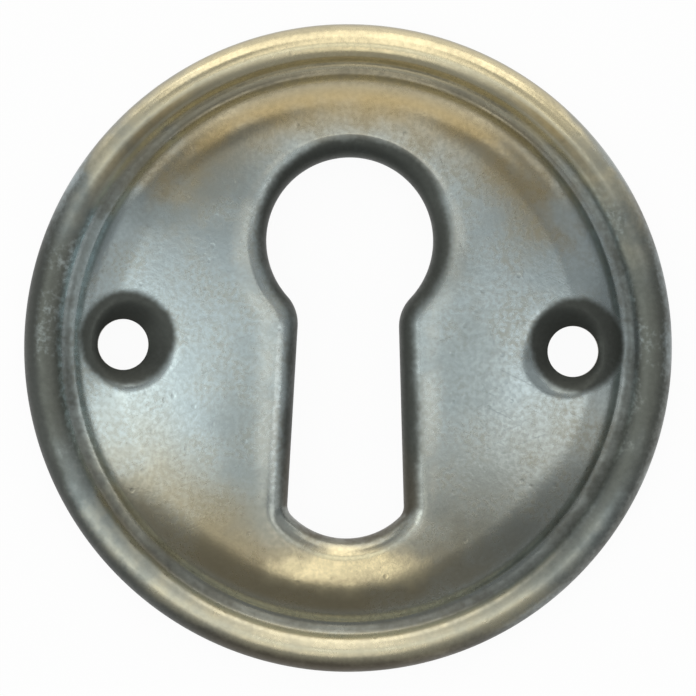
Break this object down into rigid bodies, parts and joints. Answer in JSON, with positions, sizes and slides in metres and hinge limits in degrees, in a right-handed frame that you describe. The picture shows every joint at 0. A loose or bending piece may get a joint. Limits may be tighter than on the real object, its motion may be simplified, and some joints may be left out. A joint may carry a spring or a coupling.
{
  "type": "keyhole escutcheon",
  "caption": "Round domed escutcheon with a beaded rim, a lipped keyhole and countersunk screw holes, pressed from brass sheet with an antique finish.",
  "frame": {"origin": "centre of the plate on its back plane, where the rim meets the door", "axes": "+Z out of the front, +Y towards the keyhole's round, +X through the right screw hole"},
  "size_m": [0.03, 0.03, 0.003],
  "materials": {
    "antique_brass": "relieved antique brass: grey-green patina on the field, rubbed bright on the bead, dark in the recesses"
  },
  "bodies": {
    "root": {"escutcheon_plate": "antique_brass"}
  },
  "joints": []
}
